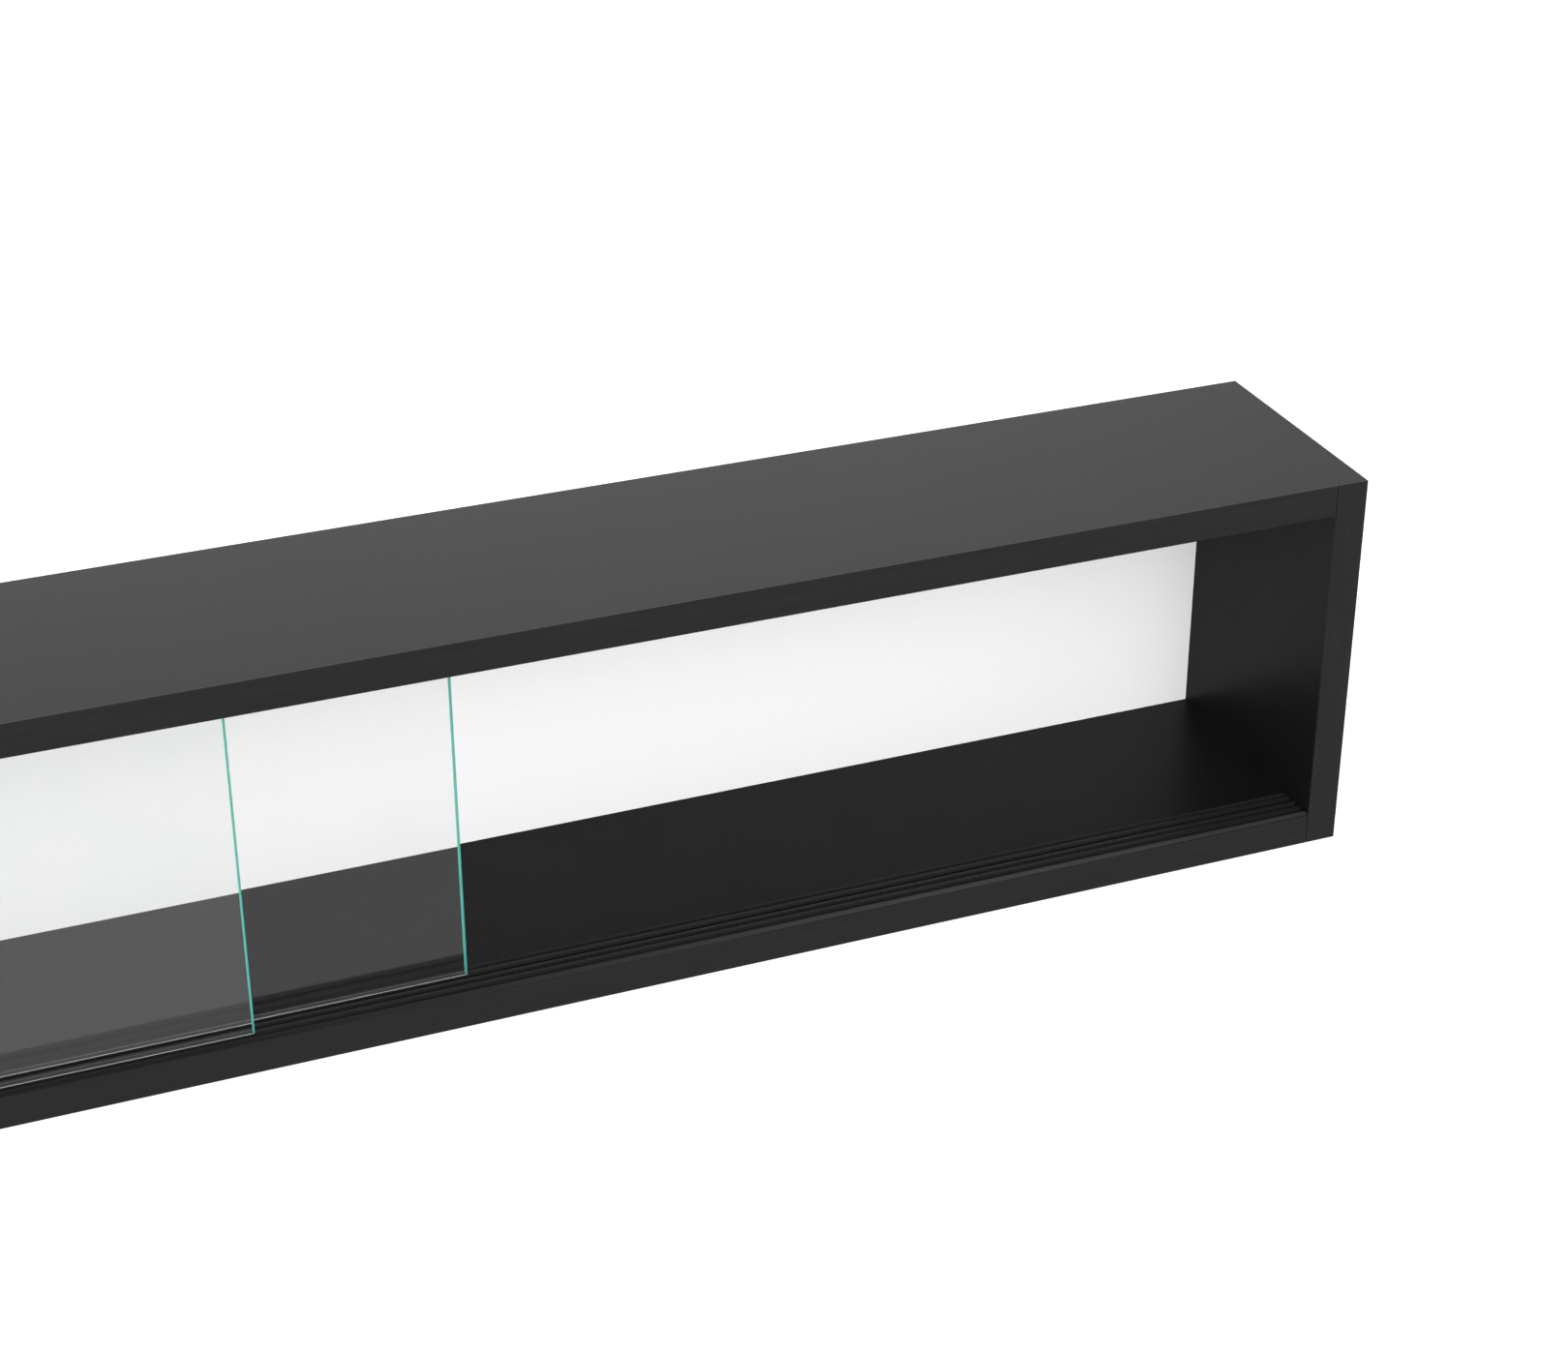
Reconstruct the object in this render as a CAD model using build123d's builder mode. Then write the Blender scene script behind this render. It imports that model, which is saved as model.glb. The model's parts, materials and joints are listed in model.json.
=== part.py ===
"""Wall display case with two sliding glass doors.

Row frame: the origin is the centre of the underside. X runs along the case, the doors are at -Y,
the wall is at +Y and Z is up. All sizes are millimetres.
"""
from build123d import *
import os

# Driving dimensions of the case
case_length = 1280
case_height = 223
case_depth = 150
board = 18
back_thickness = 3
back_inset = 2
band = 1
band_radius = 0.4
band_joint = 0.3

# Glass doors and their travel
glass = 6
glass_bottom = 17.4
glass_top = 211
glass_arris = 0.6
front_glass_inset = 9.0
rear_glass_inset = 20.6
stop_gap = 2
door_overlap = 39
rear_door_shift = 115

# Lower track: insets are measured back from the front of the case
track_front = 4.8
track_back = 27.4
lower_groove_depth = 8
track_web = 1.4
track_lip = 0.6
rib_front = 15.3
rib_back = 17.2
ledge_height = 16.4
runner_width = 5.4
runner_front = 8.8
runner_pitch = 12
runner_crown = 17.3
runner_edge = 16.8
runner_underside = 15.4
stem_width = 2.6

# Upper track
upper_front = 7.5
upper_back = 28.1
upper_groove_depth = 10
upper_web = 1.2
upper_wall = 1.0
channel_width = 7.0
upper_screw_radius = 1.25
upper_screw_head_radius = 2.1
upper_screw_length = 14
upper_screw_pitch = 280
upper_screw_count = 5
upper_screw_tip = 2
stop_thickness = 1.6
stop_width = 6.6
stop_height = 6.5

# Knock-down fittings
cam_radius = 7.5
cam_depth = 12.5
cam_setback = 34
cam_insets = (45, 117)
cam_clearance = 0.1
cam_cavity_overrun = 1.5
cam_recess_width = 2
cam_recess_length = 9
cam_recess_depth = 1.5
cap_thickness = 1.2
bolt_shank_radius = 3
bolt_head_radius = 3.5
bolt_neck_radius = 2
bolt_bore_radius = 4
bolt_thread_radius = 2.5
bolt_thread_depth = 11
bolt_tip = 1
bolt_shank_end = 6
bolt_taper = 1
bolt_neck_length = 2
bolt_head_length = 1.5
bolt_dome = 1
dowel_insets = (65, 97)
dowel_radius = 4
dowel_length = 30
dowel_in_side = 11
dowel_chamfer = 0.8

# Back panel screws
back_screw_radius = 1.5
back_screw_head_radius = 3
back_screw_length = 16
back_screw_columns = 7
back_screw_end_inset = 40
back_screw_tip = 3

# Wall brackets
bracket_leg = 30
bracket_width = 40
bracket_steel = 2
bracket_bend_radius = 2
bracket_corner_radius = 3
bracket_x = 540
wall_hole_radius = 3.25
wall_hole_drop = 15
bracket_screw_radius = 1.75
bracket_screw_head_radius = 3.5
bracket_screw_head = 1.8
bracket_screw_bevel = 1
bracket_screw_length = 15
bracket_screw_tip = 3
bracket_screw_spacing = 24
bracket_screw_setback = 18

# Fits: play around a fastener, and how far a bore runs on past it
clearance = 0.05
bore_overrun = 0.5
screw_overrun = 0.2

# Positions worked out from the driving dimensions
front = -case_depth / 2
board_front = front + band
back_plane = case_depth / 2
board_back = back_plane - back_thickness
board_depth = board_back - board_front
board_middle = (board_front + board_back) / 2
inner_half = case_length / 2 - board
inner_length = 2 * inner_half
side_middle = case_length / 2 - board / 2
top_underside = case_height - board
door_length = (inner_length - 2 * stop_gap + door_overlap) / 2
door_left_stop = -inner_half + stop_gap
upper_rib_front = front_glass_inset + glass / 2 + channel_width / 2
upper_rib_back = rear_glass_inset + glass / 2 - channel_width / 2
ends = (-1, 1)
cam_levels = (0, top_underside)

os.makedirs("parts", exist_ok=True)


def save(part, name):
    """Label a finished piece and write its STEP file."""
    part.label = name
    export_step(part, f"parts/{name}.step")


def box_between(x_range, y_range, z_range):
    """Make a box from its limits, as an object to add in a context."""
    sizes = [high - low for low, high in (x_range, y_range, z_range)]
    centre = [(high + low) / 2 for low, high in (x_range, y_range, z_range)]
    return Pos(*centre) * Box(*sizes, mode=Mode.PRIVATE)


def cylinder_along_x(radius, x_start, x_end, y, z):
    """Make a round bar along X between two stations."""
    bar = Cylinder(radius, abs(x_end - x_start), mode=Mode.PRIVATE)
    return Pos((x_start + x_end) / 2, y, z) * Rot(0, 90, 0) * bar


def turned(outline):
    """Revolve an outline of (radius, height) points about Z, as an object to add in a context."""
    face = make_face(Plane.XZ * Polyline(*outline, close=True))
    return revolve(face, Axis.Z)


def cam_centres():
    """List each cam's place: end sign, x, y, and the face that it opens on."""
    return [
        (end, end * (inner_half - cam_setback), front + inset, level)
        for level in cam_levels
        for end in ends
        for inset in cam_insets
    ]


def dowel_centres():
    """List each dowel's place: end sign, y, and height."""
    return [
        (end, front + inset, level + board / 2)
        for level in cam_levels
        for end in ends
        for inset in dowel_insets
    ]


def back_screw_places():
    """List the back panel screws as x and z pairs around the carcass."""
    reach = case_length / 2 - back_screw_end_inset
    pitch = 2 * reach / (back_screw_columns - 1)
    rows = (board / 2, case_height - board / 2)
    along = [(-reach + pitch * column, z) for z in rows for column in range(back_screw_columns)]
    return along + [(end * side_middle, case_height / 2) for end in ends]


def bracket_screw_places():
    """List the bracket screws as x and y pairs."""
    return [
        (end * bracket_x + side * bracket_screw_spacing / 2, board_back - bracket_screw_setback)
        for end in ends
        for side in ends
    ]


def back_screw_bores():
    """Make the pilot holes that the back panel screws cut in the boards."""
    shank = back_screw_length - back_thickness
    radius = back_screw_radius + clearance
    bore = Rot(90, 0, 0) * Cylinder(radius, shank + clearance, mode=Mode.PRIVATE)
    return [Pos(x, board_back - (shank + clearance) / 2, z) * bore for x, z in back_screw_places()]


def horizontal_board_bores(level):
    """Make the cam, bolt and dowel bores of the top or the bottom board."""
    bores = []
    for end, x, y, cam_level in cam_centres():
        if cam_level == level:
            pocket = Cylinder(cam_radius + cam_clearance, cam_depth, mode=Mode.PRIVATE)
            bores.append(Pos(x, y, level + cam_depth / 2) * pocket)
            bores.append(cylinder_along_x(bolt_bore_radius, x, end * inner_half, y, level + board / 2))
    for end, y, z in dowel_centres():
        if z == level + board / 2:
            depth = dowel_length - dowel_in_side + bore_overrun
            start = end * (inner_half - depth)
            bores.append(cylinder_along_x(dowel_radius + clearance, start, end * inner_half, y, z))
    return bores


def side_board_bores(end):
    """Make the thread and dowel bores in the inner face of one side board."""
    bores = []
    for cam_end, _, y, level in cam_centres():
        if cam_end == end:
            stop = end * (inner_half + bolt_thread_depth + bore_overrun)
            radius = bolt_thread_radius + clearance
            bores.append(cylinder_along_x(radius, end * inner_half, stop, y, level + board / 2))
    for dowel_end, y, z in dowel_centres():
        if dowel_end == end:
            stop = end * (inner_half + dowel_in_side + bore_overrun)
            bores.append(cylinder_along_x(dowel_radius + clearance, end * inner_half, stop, y, z))
    return bores


# Side boards, full height
for end, name in zip(ends, ("left_side_panel", "right_side_panel")):
    with BuildPart() as side_panel:
        with Locations((end * side_middle, board_middle, case_height / 2)):
            Box(board, board_depth, case_height)
        add(side_board_bores(end), mode=Mode.SUBTRACT)
        add(back_screw_bores(), mode=Mode.SUBTRACT)
    save(side_panel.part, name)

# Bottom board, grooved for the lower track
with BuildPart() as bottom_panel:
    with Locations((0, board_middle, board / 2)):
        Box(inner_length, board_depth, board)
    lower_groove = box_between(
        (-inner_half, inner_half),
        (front + track_front, front + track_back),
        (board - lower_groove_depth, board),
    )
    add(lower_groove, mode=Mode.SUBTRACT)
    add(horizontal_board_bores(0), mode=Mode.SUBTRACT)
    add(back_screw_bores(), mode=Mode.SUBTRACT)
save(bottom_panel.part, "bottom_panel")

# Top board, grooved for the upper track and drilled for the bracket and track screws
with BuildPart() as top_panel:
    with Locations((0, board_middle, top_underside + board / 2)):
        Box(inner_length, board_depth, board)
    upper_groove = box_between(
        (-inner_half, inner_half),
        (front + upper_front, front + upper_back),
        (top_underside, top_underside + upper_groove_depth),
    )
    add(upper_groove, mode=Mode.SUBTRACT)
    add(horizontal_board_bores(top_underside), mode=Mode.SUBTRACT)
    add(back_screw_bores(), mode=Mode.SUBTRACT)
    bracket_screw_depth = bracket_screw_length - bracket_steel
    for x, y in bracket_screw_places():
        with Locations((x, y, top_underside + bracket_screw_depth / 2)):
            bracket_pilot = bracket_screw_depth + screw_overrun
            Cylinder(bracket_screw_radius + clearance, bracket_pilot, mode=Mode.SUBTRACT)
    rib_middle = front + (upper_rib_front + upper_rib_back) / 2
    with Locations((0, rib_middle, top_underside + upper_screw_length / 2)):
        with GridLocations(upper_screw_pitch, 1, upper_screw_count, 1):
            upper_pilot = upper_screw_length + screw_overrun
            Cylinder(upper_screw_radius + clearance, upper_pilot, mode=Mode.SUBTRACT)
save(top_panel.part, "top_panel")

# Back panel, laid over the rear edges of the carcass
with BuildPart() as back_panel:
    with BuildSketch(Plane.XZ.offset(-back_plane)):
        with Locations((0, case_height / 2)):
            Rectangle(case_length - 2 * back_inset, case_height - 2 * back_inset)
        with Locations(*[(end * bracket_x, top_underside - wall_hole_drop) for end in ends]):
            Circle(wall_hole_radius, mode=Mode.SUBTRACT)
    extrude(amount=back_thickness)
    for x, z in back_screw_places():
        with Locations(Location((x, back_plane, z), (-90, 0, 0))):
            CounterSinkHole(
                radius=back_screw_radius + clearance,
                counter_sink_radius=back_screw_head_radius + clearance,
                depth=back_thickness,
                counter_sink_angle=90,
            )
save(back_panel.part, "back_panel")

# Edge bands on the front edges of the four boards, with an open joint at each corner
for end, name in zip(ends, ("left_side_edge_band", "right_side_edge_band")):
    with BuildPart() as side_band:
        with Locations((end * side_middle, front + band / 2, case_height / 2)):
            Box(board, band, case_height)
        front_face = side_band.faces().sort_by(Axis.Y)[0]
        fillet(front_face.edges(), band_radius)
    save(side_band.part, name)

for z, name in ((case_height - board / 2, "top_edge_band"), (board / 2, "bottom_edge_band")):
    with BuildPart() as long_band:
        with Locations((0, front + band / 2, z)):
            Box(inner_length - 2 * band_joint, band, board)
        front_face = long_band.faces().sort_by(Axis.Y)[0]
        fillet(front_face.edges(), band_radius)
    save(long_band.part, name)

# Lower track: base web, front ledge, middle rib, rear lip and two crowned runners on stems
track_floor = board - lower_groove_depth
with BuildPart() as lower_track:
    with BuildSketch(Plane.YZ.offset(-inner_half)) as track_section:
        for y_low, y_high, z_high in (
            (track_front, track_back, track_floor + track_web),
            (track_front, track_front + track_lip, board),
            (track_front, runner_front + runner_width / 2, ledge_height),
            (rib_front, rib_back, board),
            (track_back - track_lip, track_back, board),
        ):
            with Locations((front + (y_low + y_high) / 2, (track_floor + z_high) / 2)):
                Rectangle(y_high - y_low, z_high - track_floor)
        for runner in range(2):
            runner_y = front + runner_front + runner * runner_pitch
            middle = runner_y + runner_width / 2
            with Locations((middle, (track_floor + runner_edge) / 2)):
                Rectangle(stem_width, runner_edge - track_floor)
            with BuildLine():
                ThreePointArc(
                    (runner_y, runner_edge),
                    (middle, runner_crown),
                    (runner_y + runner_width, runner_edge),
                )
                Polyline(
                    (runner_y + runner_width, runner_edge),
                    (runner_y + runner_width, runner_underside),
                    (runner_y, runner_underside),
                    (runner_y, runner_edge),
                )
            make_face()
    extrude(amount=inner_length)
save(lower_track.part, "lower_door_track")

# Upper track: two deep channels that open downwards
with BuildPart() as upper_track:
    with BuildSketch(Plane.YZ.offset(-inner_half)):
        with Locations((front + (upper_front + upper_back) / 2, top_underside + upper_groove_depth / 2)):
            Rectangle(upper_back - upper_front, upper_groove_depth)
        channel_height = upper_groove_depth - upper_web
        for inset in (front_glass_inset, rear_glass_inset):
            with Locations((front + inset + glass / 2, top_underside + channel_height / 2)):
                Rectangle(channel_width, channel_height, mode=Mode.SUBTRACT)
    extrude(amount=inner_length)
    with Locations(Location((0, rib_middle, top_underside), (180, 0, 0))):
        with GridLocations(upper_screw_pitch, 1, upper_screw_count, 1):
            CounterSinkHole(
                radius=upper_screw_radius + clearance,
                counter_sink_radius=upper_screw_head_radius + clearance,
                depth=upper_groove_depth,
                counter_sink_angle=90,
            )
save(upper_track.part, "upper_door_track")

# Screws of the upper track, driven upwards through its middle rib
upper_screw = turned([
    (0, 0),
    (upper_screw_head_radius, 0),
    (upper_screw_radius, upper_screw_head_radius - upper_screw_radius),
    (upper_screw_radius, upper_screw_length - upper_screw_tip),
    (0, upper_screw_length),
])
with BuildPart() as upper_track_screws:
    with Locations((0, rib_middle, top_underside)):
        with GridLocations(upper_screw_pitch, 1, upper_screw_count, 1):
            add(upper_screw)
save(upper_track_screws.part, "upper_track_screws")

# Rubber stops at the ends of the upper channels
with BuildPart() as door_end_stops:
    stop_z = top_underside + channel_height - stop_height / 2
    for inset in (front_glass_inset, rear_glass_inset):
        for end in ends:
            with Locations((end * (inner_half - stop_thickness / 2), front + inset + glass / 2, stop_z)):
                Box(stop_thickness, stop_width, stop_height)
save(door_end_stops.part, "door_end_stops")

# Frameless glass doors, all edges with a ground arris
for name, inset, shift in (
    ("front_glass_door", front_glass_inset, 0),
    ("rear_glass_door", rear_glass_inset, rear_door_shift),
):
    door_middle = (
        door_left_stop + shift + door_length / 2,
        front + inset + glass / 2,
        (glass_bottom + glass_top) / 2,
    )
    with BuildPart() as door:
        with Locations(door_middle):
            Box(door_length, glass, glass_top - glass_bottom)
        chamfer(door.edges(), glass_arris)
    save(door.part, name)

# Cams: a drum with a cavity for the bolt head, a bolt slot and a cross recess for the driver
cam_height = cam_depth - cap_thickness
with BuildPart() as cam_locks:
    for end, x, y, level in cam_centres():
        bolt_z = level + board / 2
        with Locations((x, y, level + cap_thickness + cam_height / 2)):
            Cylinder(cam_radius, cam_height)
        cavity_end = x - end * cam_cavity_overrun
        mouth = x + end * 2 * cam_radius
        add(cylinder_along_x(bolt_bore_radius, cavity_end, mouth, y, bolt_z), mode=Mode.SUBTRACT)
        with Locations((x, y, level + cap_thickness + cam_recess_depth / 2)):
            Box(cam_recess_width, cam_recess_length, cam_recess_depth, mode=Mode.SUBTRACT)
            Box(cam_recess_length, cam_recess_width, cam_recess_depth, mode=Mode.SUBTRACT)
save(cam_locks.part, "cam_locks")

# Caps pressed in over the cams, flush with the board
with BuildPart() as cam_caps:
    for _, x, y, level in cam_centres():
        with Locations((x, y, level + cap_thickness / 2)):
            Cylinder(cam_radius + cam_clearance / 2, cap_thickness)
save(cam_caps.part, "cam_caps")

# Cam bolts: thread in the side board, collar, shank, neck and the head that the cam pulls on
shank_end = cam_setback - bolt_shank_end
neck_start = shank_end + bolt_taper
neck_end = neck_start + bolt_neck_length
head_start = neck_end + bolt_taper
head_end = head_start + bolt_head_length
cam_bolt = turned([
    (0, -bolt_thread_depth),
    (bolt_thread_radius, -bolt_thread_depth + bolt_tip),
    (bolt_thread_radius, 0),
    (bolt_shank_radius, 0),
    (bolt_shank_radius, shank_end),
    (bolt_neck_radius, neck_start),
    (bolt_neck_radius, neck_end),
    (bolt_head_radius, head_start),
    (bolt_head_radius, head_end),
    (0, head_end + bolt_dome),
])
with BuildPart() as cam_bolts:
    for end, _, y, level in cam_centres():
        add(Pos(end * inner_half, y, level + board / 2) * Rot(0, -90 * end, 0) * cam_bolt)
save(cam_bolts.part, "cam_bolts")

# Beech dowels with chamfered ends
with BuildPart() as dowels:
    for end, y, z in dowel_centres():
        start = end * (inner_half + dowel_in_side)
        add(cylinder_along_x(dowel_radius, start, start - end * dowel_length, y, z))
    chamfer(dowels.edges().filter_by(GeomType.CIRCLE), dowel_chamfer)
save(dowels.part, "dowels")

# Countersunk screws of the back panel
back_screw = turned([
    (0, 0),
    (back_screw_head_radius, 0),
    (back_screw_radius, back_screw_head_radius - back_screw_radius),
    (back_screw_radius, back_screw_length - back_screw_tip),
    (0, back_screw_length),
])
with BuildPart() as back_panel_screws:
    for x, z in back_screw_places():
        add(Pos(x, back_plane, z) * Rot(90, 0, 0) * back_screw)
save(back_panel_screws.part, "back_panel_screws")

# Steel angles that carry the case on the wall
for end, name in zip(ends, ("left_wall_bracket", "right_wall_bracket")):
    with BuildPart() as bracket:
        with BuildSketch(Plane.YZ.offset(end * bracket_x - bracket_width / 2)):
            with Locations((board_back - bracket_leg / 2, top_underside - bracket_steel / 2)):
                Rectangle(bracket_leg, bracket_steel)
            with Locations((board_back - bracket_steel / 2, top_underside - bracket_leg / 2)):
                Rectangle(bracket_steel, bracket_leg)
        extrude(amount=bracket_width)
        bend = (end * bracket_x, board_back - bracket_steel, top_underside - bracket_steel)
        fillet(bracket.edges().filter_by(Axis.X).sort_by_distance(bend)[0], bracket_bend_radius)
        leg_ends = bracket.edges().filter_by(Axis.Z).group_by(Axis.Y)[0]
        fillet(leg_ends, bracket_corner_radius)
        foot_ends = bracket.edges().filter_by(Axis.Y).group_by(Axis.Z)[0]
        fillet(foot_ends, bracket_corner_radius)
        with Locations(Location((end * bracket_x, board_back, top_underside - wall_hole_drop), (90, 0, 0))):
            Hole(wall_hole_radius)
        for x, y in bracket_screw_places():
            with Locations((x, y, top_underside)):
                Cylinder(bracket_screw_radius + clearance, 3 * bracket_steel, mode=Mode.SUBTRACT)
    save(bracket.part, name)

# Pan-head screws of the brackets
bracket_screw = turned([
    (0, -bracket_steel - bracket_screw_head),
    (bracket_screw_head_radius - bracket_screw_bevel, -bracket_steel - bracket_screw_head),
    (bracket_screw_head_radius, -bracket_steel - bracket_screw_head + bracket_screw_bevel),
    (bracket_screw_head_radius, -bracket_steel),
    (bracket_screw_radius, -bracket_steel),
    (bracket_screw_radius, bracket_screw_depth - bracket_screw_tip),
    (0, bracket_screw_depth),
])
with BuildPart() as wall_bracket_screws:
    for x, y in bracket_screw_places():
        add(Pos(x, y, top_underside) * bracket_screw)
save(wall_bracket_screws.part, "wall_bracket_screws")
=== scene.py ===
import bpy
import json
from math import cos, pi, radians, sin
from mathutils import Matrix, Vector


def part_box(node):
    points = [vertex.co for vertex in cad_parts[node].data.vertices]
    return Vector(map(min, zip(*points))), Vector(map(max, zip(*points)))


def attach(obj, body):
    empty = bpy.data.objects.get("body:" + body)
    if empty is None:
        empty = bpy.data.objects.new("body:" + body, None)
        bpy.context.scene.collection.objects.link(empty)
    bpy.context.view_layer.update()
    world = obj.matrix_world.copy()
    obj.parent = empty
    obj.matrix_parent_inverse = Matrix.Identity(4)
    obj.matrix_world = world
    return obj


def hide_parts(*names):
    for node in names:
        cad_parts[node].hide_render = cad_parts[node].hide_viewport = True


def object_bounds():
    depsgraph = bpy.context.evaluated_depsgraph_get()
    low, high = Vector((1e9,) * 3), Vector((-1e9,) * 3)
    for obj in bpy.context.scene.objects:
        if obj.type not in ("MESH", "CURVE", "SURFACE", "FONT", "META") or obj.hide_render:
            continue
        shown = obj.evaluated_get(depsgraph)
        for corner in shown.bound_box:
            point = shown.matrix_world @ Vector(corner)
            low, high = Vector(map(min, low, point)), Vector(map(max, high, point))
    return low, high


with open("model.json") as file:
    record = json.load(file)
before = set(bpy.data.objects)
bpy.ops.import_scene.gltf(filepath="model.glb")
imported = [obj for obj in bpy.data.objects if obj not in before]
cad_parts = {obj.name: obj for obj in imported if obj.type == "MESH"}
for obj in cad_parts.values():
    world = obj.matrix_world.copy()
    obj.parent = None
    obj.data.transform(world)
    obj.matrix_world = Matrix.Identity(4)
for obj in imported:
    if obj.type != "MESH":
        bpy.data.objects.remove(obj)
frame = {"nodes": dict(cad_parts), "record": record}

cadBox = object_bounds()
nodes = frame["nodes"]
mm = 0.001
noiseLow = 0.3  # nearly all values of a noise lie between these two
noiseHigh = 0.7
smoothAngle = radians(35)  # edges sharper than this stay crisp
print("frame loaded:", len(nodes), "nodes")


def srgb(hexCode):
    channels = [int(hexCode[i:i + 2], 16) / 255 for i in (0, 2, 4)]
    linear = [c / 12.92 if c <= 0.04045 else ((c + 0.055) / 1.055) ** 2.4 for c in channels]
    return (*linear, 1)


def addNode(tree, kind, settings=None, links=None):
    # settings go to the input socket of that name or number, or else to the node itself
    node = tree.nodes.new(kind)
    for name, value in (settings or {}).items():
        if isinstance(name, int) or name in node.inputs.keys():
            node.inputs[name].default_value = value
        else:
            setattr(node, name, value)
    for name, source in (links or {}).items():
        tree.links.new(source, node.inputs[name])
    return node


def newMaterial(name):
    material = bpy.data.materials.new(name)
    material.use_nodes = True
    tree = material.node_tree
    tree.nodes.clear()
    coords = addNode(tree, "ShaderNodeTexCoord")
    return material, tree, coords.outputs["Object"]


def setRamp(node, stops):
    ramp = node.color_ramp
    ramp.elements[0].position, ramp.elements[0].color = stops[0]
    ramp.elements[1].position, ramp.elements[1].color = stops[-1]
    for position, color in stops[1:-1]:
        ramp.elements.new(position).color = color
    return node.outputs["Color"]


def deselectAll():
    bpy.ops.object.select_all(action="DESELECT")


camera = {
    "place": (-0.2087, -1.3681, 0.9237),
    "tilt": 61.552,
    "turn": -21.591,
    "lens": 71.354,
    "sensor": 36,
}
bpy.ops.object.camera_add(
    location=camera["place"],
    rotation=(radians(camera["tilt"]), 0, radians(camera["turn"])),
)
cameraObject = bpy.context.object
cameraObject.data.lens = camera["lens"]
cameraObject.data.sensor_width = camera["sensor"]
bpy.context.scene.camera = cameraObject
bpy.context.scene.view_settings.view_transform = "Standard"

light = {
    "base": 0.53,  # even light from the whole room
    "key": 4.4,  # large soft box beside the camera
    "keyToward": (-0.33, -0.82, 0.47),
    "back": 2.9,  # soft box behind the case, seen as the sheen on its top
    "backToward": (0.08, 0.78, 0.60),
    "edge": (0.75, 0.95),  # cosines between which a soft box fades in
    "backdrop": 1.0,  # white wall that the camera sees past the end of the table
}
world = bpy.data.worlds.new("studioRoom")
bpy.context.scene.world = world
world.use_nodes = True
room = world.node_tree
room.nodes.clear()
direction = addNode(room, "ShaderNodeTexCoord").outputs["Generated"]
strength = None
for box in ("key", "back"):
    toward = Vector(light[box + "Toward"]).normalized()
    facing = addNode(room, "ShaderNodeVectorMath", {"operation": "DOT_PRODUCT", 1: toward}, {0: direction})
    fade = addNode(room, "ShaderNodeMapRange", {
        "interpolation_type": "SMOOTHSTEP", "From Min": light["edge"][0], "From Max": light["edge"][1],
        "To Min": 0, "To Max": light[box]}, {"Value": facing.outputs["Value"]})
    total = addNode(room, "ShaderNodeMath", {"operation": "ADD", 1: light["base"]}, {0: fade.outputs[0]})
    if strength:
        room.links.new(strength, total.inputs[1])
    strength = total.outputs[0]
path = addNode(room, "ShaderNodeLightPath")
strength = addNode(room, "ShaderNodeMix", {3: light["backdrop"]}, {
    0: path.outputs["Is Camera Ray"], 2: strength})
sky = addNode(room, "ShaderNodeBackground", {"Color": (1, 1, 1, 1)}, {"Strength": strength.outputs[0]})
addNode(room, "ShaderNodeOutputWorld", links={"Surface": sky.outputs[0]})

table = {
    "size": 80,
    "below": 0.2,  # mm, clear of the case's underside
    "paint": "A8A8A8",
    "dull": 0.9,
    "glow": 0.8,  # lit from below, so that no shadow falls on it
}
bpy.ops.mesh.primitive_plane_add(size=table["size"], location=(0, 0, -table["below"] * mm))
floor = bpy.context.object
floor.name = "studioTable"
floor.visible_glossy = False  # gloss and glass take the even room, not the lit table
floor.visible_transmission = False
tablePaint, tree, _ = newMaterial("litWhiteTable")
shader = addNode(tree, "ShaderNodeBsdfPrincipled", {
    "Base Color": srgb(table["paint"]), "Roughness": table["dull"],
    "Emission Color": (1, 1, 1, 1), "Emission Strength": table["glow"]})
addNode(tree, "ShaderNodeOutputMaterial", links={"Surface": shader.outputs[0]})
floor.data.materials.append(tablePaint)
print("camera, light and table made")


# Sizes in the dictionaries below are in millimetres, and colours are sRGB hex values.

melamineLook = {
    "black": "121212", "cloudy": "141414", "cloud": 60, "grain": 1.6, "relief": 0.015,
    "smooth": 0.34, "rough": 0.38, "gloss": 0.046,
    "chipDark": "6E5034", "chipLight": "B8946A", "chip": 3, "chipRough": 0.9, "rawBehind": 71.9,
    "highlightGrey": "3A3A3A", "sillTop": 18, "sillSkin": 0.1, "sillBack": -70.2, "highlightStart": 0, "highlightFull": 380,
}


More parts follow.
